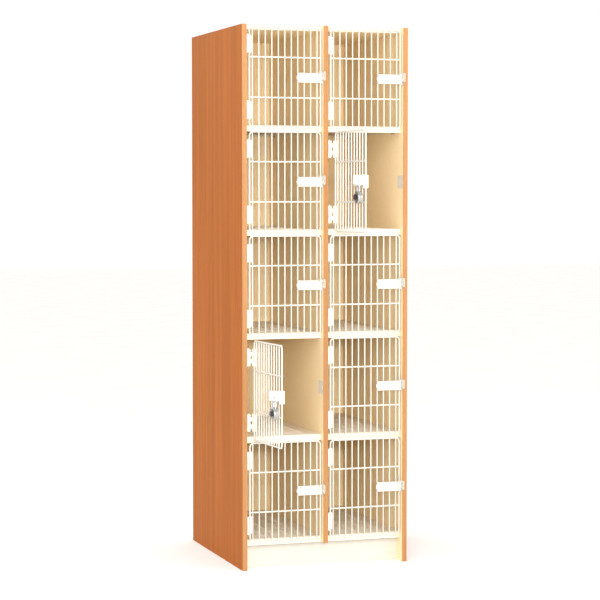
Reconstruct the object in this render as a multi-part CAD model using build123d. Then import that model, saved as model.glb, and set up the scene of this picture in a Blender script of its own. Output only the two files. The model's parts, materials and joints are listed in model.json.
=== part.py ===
"""Grille-door locker: two columns of five compartments behind welded wire doors.

The case is laminated board. Every compartment has a moulded shelf, a hinged
wire door, a sliding bolt in a folded channel and an ear for a padlock.
X runs across the front, Y runs from the front to the back, Z is up. The origin
is on the floor under the middle of the case. All sizes are in millimetres.
"""

from build123d import *
from math import cos, radians, sin, sqrt
import os

# Case
case_width = 692.15
case_depth = 752.5
case_height = 2149.5
panel_t = 19.05
rows = 5
bay_base = 101.6  # floor to the lowest bay line
kick_setback = 64.0
band_t = 3.0
band_edge_r = 1.0
back_t = 6.35
rail_t = 19.05
rail_height = 100.0
anchor_spacing = 406.4
anchor_hole_r = 4.0

# Shelves
shelf_clear = 2.025  # door wires to the front of a shelf lip
shelf_rise = 17.4  # bay line to the top of a shelf
shelf_drop = 7.6  # bay line to the underside of a shelf lip
shelf_wall = 3.0
shelf_nose_r = 7.0
shelf_gap = 0.75
shelf_rib_count = 5
shelf_rib_t = 2.0
shelf_rib_z = 5.0  # underside of a shelf lip to the underside of its ribs
pin_r = 3.0
pin_web = 3.0  # board left between the pins on its two sides
pin_reach = 9.0
pin_from_front = 110.0
pin_from_back = 80.0

# Door grille
frame_rod_r = 3.175
wire_r = 2.5
wire_count = 11
weld_depth = 1.2  # how far a wire sinks into a rod it is welded to
door_setback = 21.0  # front plane to the plane of the frame rods
door_top_gap = 8.8  # bay line to a frame rod's centre
door_hinge_gap = 16.6  # panel face to the hinge-side frame rod's centre
corner_r = 16.0
cross_rod_drop = 117.0
latch_bar_wires = 4  # wires that the two latch bars are welded to
latch_bar_sink = 0.3

# Hinges
leaf_t = 1.6
leaf_height = 68.0
leaf_drop = 67.0  # frame rod to the middle of a hinge
knuckle_r = 3.2
knuckle_mid = 27.0
hinge_pin_r = 2.0
knuckle_clear = 0.3
pin_forward = 0.5  # hinge axis in front of the front plane
pin_clear = 0.05
pin_tail = 1.5
pin_head_gap = 0.1
pin_head_inset = 0.2
fixed_leaf_depth = 36.0
door_leaf_overlap = 6.225  # behind the frame rod, past its far side
leaf_sink = 0.4  # how far the frame rod sinks into the leaf it is welded to
leaf_notch = 11.5
leaf_slot = 12.0
leaf_slot_start = 8.6
leaf_slot_width = 8.0

# Latch
sheet_t = 1.5
channel_length = 100.0
channel_height = 37.0
channel_front = 12.0  # frame rod plane to the channel's outer face
channel_lip = 7.0
end_plate_height = 50.0
end_plate_back = 9.0
ear_front = 46.0
ear_top = 24.5
ear_height = 36.0
ear_corner_r = 3.0
hasp_hole_r = 4.8
hasp_hole_front = 32.0
bolt_travel = 15.0
bolt_t = 5.0
bolt_height = 16.0
bolt_lead = 30.0
tail_height = 16.0
tail_reach = 5.5
tail_flat = 0.3
slide_clear = 0.3
swing_clear = 0.5
weld_gap = 0.05

# Strikes
strike_t = 1.6
strike_start = 5.0
strike_end = 63.0
strike_height = 52.0
strike_corner_r = 3.0
strike_screw_y = 49.0
strike_screw_z = 21.0
pocket_spare = 1.5

# Screws and dowels
screw_r = 1.9
screw_head_r = 3.8
screw_head_h = 2.0
screw_length = 14.0
leaf_screw_y = 24.0
leaf_screw_z = 20.0
screw_clear = 0.05
dowel_r = 4.0
dowel_in_panel = 11.0
dowel_in_board = 20.0
dowel_spare = 1.0
dowel_from_edge = 90.0

# Padlocks
lock_r = 24.0
lock_t = 20.0
lock_edge_r = 3.0
shackle_r = 3.2
shackle_pitch = 19.0
shackle_lift = 38.0  # top of the drawn shackle above the top of the case
shackle_travel = 12.0
heel_hold = 7.0
toe_spare = 2.0
shackle_clear = 0.15
leg_hole_spare = 1.0
dial_r = 17.5
dial_t = 2.5
knob_r = 10.0
knob_t = 7.0
knob_flutes = 20
flute_r = 1.1
dial_recess = 1.0
dial_clear = 0.3
dial_seat = 0.15
spindle_r = 3.0
spindle_length = 6.0
spindle_clear = 0.08
spindle_spare = 0.5

# Plinth and levellers
rear_plinth_setback = 70.0
foot_r = 16.0
foot_t = 8.0
foot_edge_r = 2.0
foot_stem_r = 5.0
foot_stem_length = 60.0
bracket_size = 45.0
bracket_t = 12.0
bracket_z = 40.0

# Doors that stand open at rest, as (column, row), and how far
open_doors = [("L", 4), ("R", 2)]
open_angle = 86.0

# Values worked out from those above
front = -case_depth / 2
back = case_depth / 2
bay_width = (case_width - 3 * panel_t) / 2
bay_pitch = (case_height - bay_base) / rows
column_x = {"L": -case_width / 2 + panel_t, "R": panel_t / 2}
plinth_top = bay_base - shelf_drop
pin_inset = (panel_t - pin_web) / 2
panel_front = front + band_t
inner_back = back - rail_t - back_t
pin_x = knuckle_r + knuckle_clear
pin_y = -pin_forward
door_height = bay_pitch - 2 * door_top_gap
door_leaf_y = door_setback + frame_rod_r - leaf_sink
door_leaf_reach = door_hinge_gap + frame_rod_r + door_leaf_overlap
swing_depth = door_setback + end_plate_back + pin_forward
swing_sagitta = swing_depth**2 / (2 * (bay_width - pin_x - swing_depth / 4))
end_plate_gap = swing_sagitta + swing_clear
end_plate_x = bay_width - end_plate_gap - sheet_t
latch_rod_x = end_plate_x - weld_gap - frame_rod_r
door_width = latch_rod_x - door_hinge_gap
wire_pitch = door_width / wire_count
wire_y = door_setback + frame_rod_r + wire_r - weld_depth
shelf_setback = wire_y + wire_r + shelf_clear
channel_x = end_plate_x - channel_length
channel_back = frame_rod_r + weld_gap
bolt_tip_x = end_plate_x + sheet_t
slide_outer = channel_front - sheet_t - slide_clear
slide_inner = channel_back + sheet_t + slide_clear
bolt_depth = min(bolt_t, slide_outer - slide_inner)
pocket_depth = bolt_travel - end_plate_gap + pocket_spare


def block(x0, x1, y0, y1, z0, z1):
    """A box from its two corners on each axis."""
    middle = ((x0 + x1) / 2, (y0 + y1) / 2, (z0 + z1) / 2)
    return Pos(*middle) * Box(abs(x1 - x0), abs(y1 - y0), abs(z1 - z0))


def bar(start, end, radius):
    """A round bar between two points."""
    run = Vector(*end) - Vector(*start)
    foot = (Align.CENTER, Align.CENTER, Align.MIN)
    return Plane(origin=start, z_dir=run) * Cylinder(radius, run.length, align=foot)


def bay_line(row):
    """Height of the line under a row, counted from the top."""
    return bay_base + (rows - row) * bay_pitch


def bay_middle(row):
    return bay_line(row) + bay_pitch / 2


def write(name, shapes):
    """One STEP file for a node, of one solid or a group of them."""
    solids = [s for shape in shapes for s in shape.solids()]
    export_step(Compound(children=solids), f"parts/{name}.step")


# ---------------------------------------------------------------- fasteners


def wood_screw(clear=0.0):
    """A countersunk screw driven towards -X, its head flush at X = 0."""
    head = Pos(-screw_head_h / 2, 0, 0) * Rot(0, 90, 0)
    head = head * Cone(screw_r + clear, screw_head_r + clear, screw_head_h)
    shank = bar((0, 0, 0), (-screw_length - clear, 0, 0), screw_r + clear)
    return head + shank


def leaf_screw_places():
    """Hinge screws in a door's own frame, heads flush with the fixed leaf."""
    for side in (-1, 1):
        for step in (-1, 1):
            z = side * (door_height / 2 - leaf_drop) + step * leaf_screw_z
            yield Pos(leaf_t, leaf_screw_y, z)


def strike_screw_places():
    """Strike screws in a door's own frame, driven the other way."""
    for step in (-1, 1):
        yield Pos(bay_width, strike_screw_y, step * strike_screw_z) * Rot(0, 0, 180)


# -------------------------------------------------------- parts of one door


def door_grille():
    """Frame rod, cross rods, wires, latch bars and both door leaves, welded."""
    path = Plane.XZ * RectangleRounded(door_width, door_height, corner_r)
    path = path.wire()
    ring = sweep(Plane(origin=path @ 0, z_dir=path % 0) * Circle(frame_rod_r), path)
    ring = Pos(door_hinge_gap + door_width / 2, door_setback, 0) * ring
    pieces = []
    for side in (-1, 1):
        z = side * (door_height / 2 - cross_rod_drop)
        start = (door_hinge_gap, door_setback, z)
        pieces.append(bar(start, (latch_rod_x, door_setback, z), frame_rod_r))
    wire_end = door_height / 2 + frame_rod_r / 2
    for n in range(wire_count):
        x = door_hinge_gap + (n + 0.5) * wire_pitch
        pieces.append(bar((x, wire_y, -wire_end), (x, wire_y, wire_end), wire_r))
    latch_bar_y0 = door_setback - channel_back + weld_gap
    latch_bar_y1 = wire_y - wire_r + latch_bar_sink
    latch_bar_r = (latch_bar_y1 - latch_bar_y0) / 2
    latch_bar_y = latch_bar_y0 + latch_bar_r
    latch_bar_x = door_hinge_gap + (wire_count - latch_bar_wires + 0.5) * wire_pitch - wire_r
    for side in (-1, 1):
        z = side * channel_height / 3
        start = (latch_bar_x, latch_bar_y, z)
        pieces.append(bar(start, (latch_rod_x, latch_bar_y, z), latch_bar_r))
    for side in (-1, 1):
        z = side * (door_height / 2 - leaf_drop)
        pieces.append(Pos(0, 0, z) * door_leaf())
    return ring.fuse(*pieces)


def door_leaf():
    """The bent hinge leaf that is welded behind the frame rod."""
    x = pin_x + knuckle_r - leaf_t / 2
    y0 = pin_y + knuckle_r + knuckle_clear
    y1 = door_leaf_y + leaf_t / 2
    line = FilletPolyline((x, y0), (x, y1), (door_leaf_reach, y1), radius=2 * leaf_t)
    plate = extrude(trace(line, leaf_t), leaf_height / 2, both=True)
    half = knuckle_mid / 2 - knuckle_clear
    tab = block(x - leaf_t / 2, x + leaf_t / 2, pin_y, y0 + leaf_t, -half, half)
    barrel = bar((pin_x, pin_y, -half), (pin_x, pin_y, half), knuckle_r)
    hole = bar((pin_x, pin_y, -half - 1), (pin_x, pin_y, half + 1), hinge_pin_r + pin_clear)
    slot_y0 = pin_y + leaf_slot_start
    slot_y1 = slot_y0 + leaf_slot_width
    tip = leaf_height / 2
    cuts = [hole]
    for z0, z1 in (
        (tip - leaf_notch, tip + 1),
        (-leaf_slot / 2, leaf_slot / 2),
        (-tip - 1, -tip + leaf_notch),
    ):
        cuts.append(block(x - leaf_t, x + leaf_t, slot_y0, slot_y1, z0, z1))
    return plate + tab + barrel - cuts


def fixed_leaf():
    """The flat hinge leaf on the panel, with the two outer knuckles."""
    tip = leaf_height / 2
    gap = knuckle_mid / 2
    plate = block(0, leaf_t, pin_y, fixed_leaf_depth, -tip, tip)
    free_y = pin_y + knuckle_r + 2 * knuckle_clear
    plate -= block(-1, leaf_t + 1, pin_y - 1, free_y, -gap, gap)
    for z0, z1 in ((-tip, -gap), (gap, tip)):
        plate += bar((pin_x, pin_y, z0), (pin_x, pin_y, z1), knuckle_r)
    hole = bar((pin_x, pin_y, -tip - 1), (pin_x, pin_y, tip + 1), hinge_pin_r + pin_clear)
    return plate - hole


def hinge_pin():
    """A headed pin through the three knuckles."""
    tip = leaf_height / 2
    seat = tip + pin_head_gap
    shaft = bar((pin_x, pin_y, -tip - pin_tail), (pin_x, pin_y, seat), hinge_pin_r)
    x0, x1 = pin_x - knuckle_r, pin_x + knuckle_r
    y0, y1 = pin_y - knuckle_r, pin_y + knuckle_r
    dome = Pos(pin_x, pin_y, seat) * Sphere(knuckle_r - pin_head_inset)
    return shaft + (dome & block(x0, x1, y0, y1, seat, seat + knuckle_r))


def latch_channel():
    """The folded channel with its end plate and padlock ear."""
    y = door_setback
    half = channel_height / 2
    x0, x1 = channel_x, end_plate_x
    solid = block(x0, x1, y - channel_back - sheet_t, y - channel_back, -half, half)
    for side in (-1, 1):
        outer = side * half
        inner = side * (half - sheet_t)
        lip = side * (half - channel_lip)
        face = y - channel_front
        solid += block(x0, x1, face, y - channel_back, inner, outer)
        solid += block(x0, x1, face, face + sheet_t, lip, outer)
    tall = end_plate_height / 2
    x2 = x1 + sheet_t
    solid += block(x1, x2, y - channel_front, y + end_plate_back, -tall, tall)
    ear = block(x1, x2, y - ear_front, y - channel_front, ear_top - ear_height, ear_top)
    solid += fillet(ear.edges().filter_by(Axis.X).group_by(Axis.Y)[0], ear_corner_r)
    window = block(
        x1 - 1,
        x2 + 1,
        y - slide_outer - slide_clear,
        y - slide_inner + slide_clear,
        -bolt_height / 2 - slide_clear,
        bolt_height / 2 + slide_clear,
    )
    hole = bar((x1 - 1, y - hasp_hole_front, 0), (x2 + 1, y - hasp_hole_front, 0), hasp_hole_r)
    return solid - [window, hole]


def latch_bolt():
    """The plate that slides in the channel, with its bolt, tail and ear."""
    y = door_setback
    face = y - slide_outer
    half = channel_height / 2 - sheet_t - slide_clear
    ear_x1 = end_plate_x - slide_clear - bolt_travel
    ear_x0 = ear_x1 - sheet_t
    solid = block(channel_x, ear_x1, face, face + sheet_t, -half, half)
    x0 = channel_x - tail_reach
    tail = block(x0, channel_x + 1, face, face + sheet_t, -tail_height / 2, tail_height / 2)
    tail = fillet(tail.edges().filter_by(Axis.Y).group_by(Axis.X)[0], tail_reach - tail_flat)
    half_bolt = bolt_height / 2
    bolt = block(
        bolt_tip_x - bolt_lead, bolt_tip_x, face, face + bolt_depth, -half_bolt, half_bolt
    )
    neck = channel_height / 2 - channel_lip - slide_clear
    root = y - channel_front - slide_clear - sheet_t
    solid += [tail, bolt, block(ear_x0, ear_x1, root, face + sheet_t, -neck, neck)]
    ear_z0 = ear_top - ear_height
    ear = block(ear_x0, ear_x1, y - ear_front, root, ear_z0, ear_top)
    ear = fillet(ear.edges().filter_by(Axis.X).group_by(Axis.Y)[0], ear_corner_r)
    hole_y = y - hasp_hole_front
    return solid + ear - bar((ear_x0 - 1, hole_y, 0), (ear_x1 + 1, hole_y, 0), hasp_hole_r)


def strike_plate():
    """The plate let in flush with the panel, with a slot for the bolt."""
    x1 = bay_width + strike_t
    half = strike_height / 2
    plate = block(bay_width, x1, strike_start, strike_end, -half, half)
    return fillet(plate.edges().filter_by(Axis.X), strike_corner_r) - bolt_pocket()


def bolt_pocket():
    """The space in the strike and the panel that the bolt enters."""
    y0 = door_setback - slide_outer - 2 * slide_clear
    y1 = door_setback - slide_outer + bolt_depth + 2 * slide_clear
    half = bolt_height / 2 + 2 * slide_clear
    return block(bay_width - 1, bay_width + pocket_depth, y0, y1, -half, half)


def strike_recess():
    """The shallow recess in the panel that a strike plate sits in."""
    half = strike_height / 2
    x1 = bay_width + strike_t
    plate = block(bay_width - 1, x1, strike_start, strike_end, -half, half)
    return fillet(plate.edges().filter_by(Axis.X), strike_corner_r)


# --------------------------------------------------------------- padlock


def shackle_places():
    """Middle X and crown centre height of a padlock hung in the ear's hole."""
    x = end_plate_x + sheet_t / 2
    crown_z = -hasp_hole_r + shackle_r + shackle_clear
    return x, door_setback - hasp_hole_front, crown_z - shackle_pitch / 2


def lock_centre():
    x, y, z = shackle_places()
    top = z + shackle_pitch / 2 + shackle_r
    return x, y, top - shackle_lift - lock_r


def padlock_shackle():
    """A bent bar: a crown, a long heel leg and a short toe leg."""
    x, y, z = shackle_places()
    half = shackle_pitch / 2
    lock_z = lock_centre()[2]
    shoulder = lock_z + sqrt(lock_r**2 - (half + shackle_r) ** 2)
    crown = revolve(
        Plane(origin=(x + half, y, z), z_dir=(0, 0, 1)) * Circle(shackle_r),
        Axis((x, y, z), (0, -1, 0)),
        180,
    )
    heel = bar((x - half, y, z), (x - half, y, shoulder - heel_hold), shackle_r)
    toe = bar((x + half, y, z), (x + half, y, shoulder + toe_spare), shackle_r)
    return crown + heel + toe


def padlock_case():
    """The round case, with two leg holes and a bore for the dial's spindle."""
    x, y, z = lock_centre()
    drum = Pos(x, y, z) * Rot(90, 0, 0) * Cylinder(lock_r, lock_t)
    drum = fillet(drum.edges().filter_by(GeomType.CIRCLE), lock_edge_r)
    half = shackle_pitch / 2
    shoulder = z + sqrt(lock_r**2 - (half + shackle_r) ** 2)
    depth = heel_hold + shackle_travel + leg_hole_spare
    cuts = []
    for side in (-1, 1):
        foot = (x + side * half, y, shoulder - depth)
        cuts.append(bar(foot, (x + side * half, y, z + lock_r), shackle_r + shackle_clear))
    face = y - lock_t / 2
    spindle_end = face + spindle_length + spindle_spare
    cuts.append(bar((x, face - 1, z), (x, face + dial_recess, z), dial_r + dial_clear))
    cuts.append(bar((x, face, z), (x, spindle_end, z), spindle_r + spindle_clear))
    return drum - cuts


def padlock_dial():
    """The numbered disc, its fluted knob and the spindle behind it."""
    x, y, z = lock_centre()
    seat = y - lock_t / 2 + dial_recess - dial_seat
    disc = bar((x, seat, z), (x, seat - dial_t, z), dial_r)
    knob = bar((x, seat - dial_t, z), (x, seat - dial_t - knob_t, z), knob_r)
    spindle = bar((x, seat, z), (x, seat + spindle_length - dial_recess, z), spindle_r)
    cuts = []
    for n in range(knob_flutes):
        turn = radians(360 / knob_flutes * n)
        cx, cz = x + knob_r * cos(turn), z + knob_r * sin(turn)
        cuts.append(bar((cx, seat - dial_t, cz), (cx, seat - dial_t - knob_t - 1, cz), flute_r))
    return disc + (knob - cuts) + spindle


# ------------------------------------------------------------------ case


def moulded_shelf(column, row):
    """An open-bottomed tray with a rolled front edge and ribs underneath."""
    x0 = column_x[column] + shelf_gap
    x1 = column_x[column] + bay_width - shelf_gap
    y0, y1 = front + shelf_setback, inner_back - shelf_gap
    z0, z1 = bay_line(row) - shelf_drop, bay_line(row) + shelf_rise
    tray = block(x0, x1, y0, y1, z0, z1)
    nose = tray.edges().filter_by(Axis.X).group_by(Axis.Z)[-1].sort_by(Axis.Y)[0]
    tray = fillet(nose, shelf_nose_r)
    hollow_z = z1 - shelf_wall
    wall = shelf_wall
    nose_wall = shelf_nose_r + wall / 2
    tray -= block(x0 + wall, x1 - wall, y0 + nose_wall, y1 - wall, z0 - 1, hollow_z)
    step = (x1 - x0) / (shelf_rib_count + 1)
    half = shelf_rib_t / 2
    rib_z = z0 + shelf_rib_z
    ribs = []
    for n in range(shelf_rib_count):
        x = x0 + (n + 1) * step
        ribs.append(block(x - half, x + half, y0 + nose_wall - 1, y1 - wall + 1, rib_z, hollow_z + 1))
    return tray.fuse(*ribs)


def shelf_pins():
    """Round pins in the panels that hold up every shelf above the lowest."""
    for column in ("L", "R"):
        x0, x1 = column_x[column], column_x[column] + bay_width
        for row in range(1, rows):
            z = bay_line(row) - shelf_drop - pin_r - weld_gap
            for y in (front + pin_from_front, inner_back - pin_from_back):
                yield bar((x0 - pin_inset, y, z), (x0 + pin_reach, y, z), pin_r)
                yield bar((x1 - pin_reach, y, z), (x1 + pin_inset, y, z), pin_r)


def case_dowels(grow=0.0):
    """Dowels between the side panels and the boards across the case."""
    kick_y = front + kick_setback + panel_t / 2
    top_places = (front + dowel_from_edge, 0, back - dowel_from_edge)
    places = [(y, case_height - panel_t / 2) for y in top_places]
    for y in (kick_y, rear_plinth_y()):
        places += [(y, plinth_top / 4), (y, plinth_top * 3 / 4)]
    rail_y = back - rail_t / 2
    for z in rail_heights():
        places += [(rail_y, z + step) for step in (-rail_height / 4, rail_height / 4)]
    for side in (-1, 1):
        face = side * (case_width / 2 - panel_t)
        outer = face + side * (dowel_in_panel + grow * dowel_spare)
        inner = face - side * (dowel_in_board + grow * dowel_spare)
        for y, z in places:
            yield bar((inner, y, z), (outer, y, z), dowel_r + grow * screw_clear)


def rear_plinth_y():
    return inner_back - rear_plinth_setback


def rail_heights():
    """Middles of the three rails behind the back panel."""
    top = case_height - panel_t - rail_height / 2
    low = rail_height / 2
    return (low, (low + top) / 2, top)


def anchor_holes():
    z = rail_heights()[-1]
    for side in (-1, 1):
        x = side * anchor_spacing / 2
        yield bar((x, inner_back - 1, z), (x, back + 1, z), anchor_hole_r)


def foot_places():
    for x_side in (-1, 1):
        x = x_side * (case_width / 2 - panel_t - bracket_size / 2)
        kick_back = front + kick_setback + panel_t
        for y in (kick_back + bracket_size / 2, rear_plinth_y() - panel_t / 2 - bracket_size / 2):
            yield x, y


def door_place(column, row):
    """Where a door's own frame sits: its hinge panel's face at the bay's middle."""
    return Pos(column_x[column], front, bay_middle(row))


def swing(column, row):
    """The turn about the hinge axis that a door has at rest."""
    if (column, row) not in open_doors:
        return Pos(0, 0, 0)
    turn = Rot(0, 0, -open_angle)
    return Pos(pin_x, pin_y, 0) * turn * Pos(-pin_x, -pin_y, 0)


def cuts_near(board, cuts):
    """The cuts whose boxes reach into a board's box."""
    box = board.bounding_box()
    near = []
    for cut in cuts:
        other = cut.bounding_box()
        apart = any(
            low > high
            for low, high in (
                (box.min.X, other.max.X),
                (other.min.X, box.max.X),
                (box.min.Y, other.max.Y),
                (other.min.Y, box.max.Y),
                (box.min.Z, other.max.Z),
                (other.min.Z, box.max.Z),
            )
        )
        if not apart:
            near.append(cut)
    return near


def write_doors(bays):
    """Every door, with what moves on it."""
    grille, channel, bolt = door_grille(), latch_channel(), latch_bolt()
    for column, row in bays:
        place = door_place(column, row) * swing(column, row)
        write(f"door_grille_{column}{row}", [place * grille])
        write(f"latch_channel_{column}{row}", [place * channel])
        write(f"latch_bolt_{column}{row}", [place * bolt])
    shackle, lock, dial = padlock_shackle(), padlock_case(), padlock_dial()
    for column, row in open_doors:
        place = door_place(column, row) * swing(column, row)
        write(f"padlock_shackle_{column}{row}", [place * shackle])
        write(f"padlock_case_{column}{row}", [place * lock])
        write(f"padlock_dial_{column}{row}", [place * dial])


def write_hardware(bays):
    """Hinges, strikes and their screws. Returns what they cut from the boards."""
    screw, screw_hole = wood_screw(), wood_screw(screw_clear)
    leaf = fixed_leaf()
    strike = strike_plate() - [place * screw_hole for place in strike_screw_places()]
    leaves, pins, strikes = [], [], []
    leaf_screws, strike_screws, cuts = [], [], []
    for column, row in bays:
        home = door_place(column, row)
        holes = [home * place * screw_hole for place in leaf_screw_places()]
        leaf_screws += [home * place * screw for place in leaf_screw_places()]
        for side in (-1, 1):
            level = home * Pos(0, 0, side * (door_height / 2 - leaf_drop))
            plate = level * leaf
            leaves.append(plate - cuts_near(plate, holes))
            pins.append(level * hinge_pin())
        holes += [home * place * screw_hole for place in strike_screw_places()]
        strike_screws += [home * place * screw for place in strike_screw_places()]
        strikes.append(home * strike)
        cuts += holes + [home * strike_recess(), home * bolt_pocket()]
    write("hinge_leaves", leaves)
    write("hinge_pins", pins)
    write("hinge_screws", leaf_screws)
    write("strike_plates", strikes)
    write("strike_screws", strike_screws)
    return cuts


def write_boards(hardware_cuts):
    """The boards, cut for everything that goes into them, and the dowels and pins."""
    inner = case_width / 2 - panel_t
    half_t = panel_t / 2
    top_y, top_z = front + shelf_setback, case_height - panel_t
    kick_y = front + kick_setback
    rear_y = rear_plinth_y() - half_t
    pins, dowel_cuts = list(shelf_pins()), list(case_dowels(1.0))
    holes = list(anchor_holes())
    divider = block(-half_t, half_t, panel_front, inner_back, plinth_top, case_height)
    divider -= block(-panel_t, panel_t, top_y, back, top_z, case_height + 1)
    back_panel = block(-inner, inner, inner_back, inner_back + back_t, plinth_top, top_z)
    boards = {
        "side_panel_left": block(-inner - panel_t, -inner, panel_front, back, 0, case_height),
        "side_panel_right": block(inner, inner + panel_t, panel_front, back, 0, case_height),
        "centre_divider": divider,
        "top_panel": block(-inner, inner, top_y, back, top_z, case_height),
        "back_panel": back_panel - holes,
        "toe_kick": block(-inner, inner, kick_y, kick_y + panel_t, 0, plinth_top),
        "rear_plinth": block(-inner, inner, rear_y, rear_y + panel_t, 0, plinth_top),
        "centre_plinth": block(-half_t, half_t, kick_y + panel_t, rear_y, 0, plinth_top),
    }
    cuts = hardware_cuts + pins + dowel_cuts
    for name, board in boards.items():
        write(name, [board - cuts_near(board, cuts)])
    rails = []
    for z in rail_heights():
        half = rail_height / 2
        rail = block(-inner, inner, back - rail_t, back, z - half, z + half)
        rails.append(rail - cuts_near(rail, dowel_cuts))
    write("rear_rail_top", [rails[-1] - holes])
    write("rear_rails_lower", rails[:-1])
    write("case_dowels", case_dowels())
    write("shelf_pins", pins)


def write_edge_bands(hardware_cuts):
    """The strips on the front edges of the two sides and the divider."""
    inner = case_width / 2 - panel_t
    bands = []
    for x, z in ((-inner - panel_t, 0), (-panel_t / 2, plinth_top), (inner, 0)):
        band = block(x, x + panel_t, front, panel_front, z, case_height)
        edges = band.edges().filter_by(Axis.Z).group_by(Axis.Y)[0]
        band = fillet(edges, min(band_edge_r, band_t / 2))
        bands.append(band - cuts_near(band, hardware_cuts))
    write("front_edge_bands", bands)


def write_levellers():
    """Levelling feet in brackets inside the plinth."""
    feet, brackets = [], []
    half = bracket_size / 2
    z1 = bracket_z + bracket_t
    for x, y in foot_places():
        pad = bar((x, y, 0), (x, y, foot_t), foot_r)
        pad = fillet(pad.edges().group_by(Axis.Z)[-1], foot_edge_r)
        stem_top = foot_t + foot_stem_length
        feet.append(pad + bar((x, y, foot_t), (x, y, stem_top), foot_stem_r))
        bracket = block(x - half, x + half, y - half, y + half, bracket_z, z1)
        brackets.append(bracket - bar((x, y, 0), (x, y, z1 + 1), foot_stem_r + screw_clear))
    write("levelling_feet", feet)
    write("leveller_brackets", brackets)


os.makedirs("parts", exist_ok=True)
all_bays = [(column, row) for column in ("L", "R") for row in range(1, rows + 1)]
write_doors(all_bays)
panel_cuts = write_hardware(all_bays)
write_boards(panel_cuts)
write_edge_bands(panel_cuts)
for shelf_column, shelf_node in (("L", "shelves_left"), ("R", "shelves_right")):
    write(shelf_node, [moulded_shelf(shelf_column, row) for row in range(1, rows + 1)])
write_levellers()
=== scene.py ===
# %% [markdown]
# # A tall locker with wire grille doors
# The case is wood-grain laminate on board, with ten compartments in two columns.
# Each compartment has a moulded shelf, a welded wire door, a sliding latch and an
# ear for a padlock. The boards, hinge leaves and strike plates come from the frame
# as they are and get finishes here. The doors, latches, shelves, screws and padlocks
# are modelled again, with the bends, welds and rounded edges that catch the light.
# Lengths in the modelling cells are in mm; Blender's own unit here is the metre.

# %% Load the frame
import json
import math

import bpy
from mathutils import Matrix, Vector


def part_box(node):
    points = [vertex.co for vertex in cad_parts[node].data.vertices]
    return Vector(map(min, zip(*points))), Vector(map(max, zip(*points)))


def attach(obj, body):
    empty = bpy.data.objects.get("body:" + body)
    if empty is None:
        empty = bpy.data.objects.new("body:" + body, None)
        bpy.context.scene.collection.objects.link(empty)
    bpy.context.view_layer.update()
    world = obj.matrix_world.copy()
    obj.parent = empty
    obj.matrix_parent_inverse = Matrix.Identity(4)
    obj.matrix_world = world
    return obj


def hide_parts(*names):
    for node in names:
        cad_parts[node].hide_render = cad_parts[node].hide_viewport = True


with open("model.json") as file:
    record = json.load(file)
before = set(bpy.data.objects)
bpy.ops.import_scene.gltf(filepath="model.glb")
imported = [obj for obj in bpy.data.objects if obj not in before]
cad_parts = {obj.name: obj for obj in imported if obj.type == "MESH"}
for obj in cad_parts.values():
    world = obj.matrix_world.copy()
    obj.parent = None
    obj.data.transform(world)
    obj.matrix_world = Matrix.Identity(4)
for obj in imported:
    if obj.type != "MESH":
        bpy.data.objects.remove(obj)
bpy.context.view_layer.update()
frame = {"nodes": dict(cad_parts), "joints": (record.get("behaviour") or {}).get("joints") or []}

MM = 0.001

# %% [markdown]
# ## The camera
# The camera stands eight metres back and to the left, at chest height, and looks
# slightly down. A long lens from far away keeps the uprights nearly parallel.

# %% Camera
case_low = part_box("side_panel_left")[0]
case_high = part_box("side_panel_right")[1]
front_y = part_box("front_edge_bands")[0].y
front_corner = Vector((case_low.x, front_y, 0.0))
camera_offset = Vector((-2.239, -7.572, 1.494))
camera_yaw = math.radians(18.11)
camera_pitch = math.radians(-3.06)
look = Vector(
    (
        math.sin(camera_yaw) * math.cos(camera_pitch),
        math.cos(camera_yaw) * math.cos(camera_pitch),
        math.sin(camera_pitch),
    )
)
bpy.ops.object.camera_add(location=front_corner + camera_offset)
camera = bpy.context.object
camera.rotation_euler = look.to_track_quat("-Z", "Y").to_euler()
camera.data.sensor_width = 36.0
camera.data.lens = 121.0
print("camera at", [round(v, 2) for v in camera.location])
bpy.context.scene.camera = camera

# %% [markdown]
# ## Light, floor and backdrop
# White steel against a white room needs large, soft lights: one big panel high on the
# left of the camera, a weaker one on the right, and a bright, even world. A small lamp
# near the camera throws the wires' shadows on the back panel, as bands. The view
# transform is Standard, so a white part can reach white.

# %% Lights and stage
middle = Vector((0.0, 0.0, case_high.z / 2))


def area_light(name, place, size, power):
    """A square soft light that looks at the middle of the locker."""
    bpy.ops.object.light_add(type="AREA", location=place)
    lamp = bpy.context.object
    lamp.name = name
    lamp.data.size = size
    lamp.data.energy = power
    lamp.rotation_euler = (middle - Vector(place)).to_track_quat("-Z", "Y").to_euler()


area_light("key_light", (-1.6, -5.6, 2.8), size=3.0, power=190.0)
area_light("flash_light", (-1.3, -6.4, 1.6), size=0.3, power=120.0)
area_light("fill_light", (3.4, -4.2, 2.0), size=2.4, power=40.0)
area_light("back_light", (-2.5, 3.0, 3.2), size=2.0, power=25.0)

world = bpy.data.worlds.new("soft_white_room")
bpy.context.scene.world = world
world.use_nodes = True
room = world.node_tree.nodes["Background"]
room.inputs["Color"].default_value = (1.0, 0.995, 0.985, 1.0)
room.inputs["Strength"].default_value = 1.02
bpy.context.scene.view_settings.view_transform = "Standard"

floor_drop = 0.0005
bpy.ops.mesh.primitive_plane_add(size=60.0, location=(0.0, 0.0, -floor_drop))
floor = bpy.context.object
floor.name = "studio_floor"
print("lights", len(bpy.data.lights), "on", [round(v, 2) for v in middle])

# %% [markdown]
# ## Helpers for finishes
# Every colour is written as the hex value a paint chart would give, and one function
# turns it to the linear value that the shader wants. Another adds a node with its
# settings and its links. Patterns read Object coordinates, which are metres in the
# locker's own frame, so a scale of 1000 / n repeats a pattern about every n mm.

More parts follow.
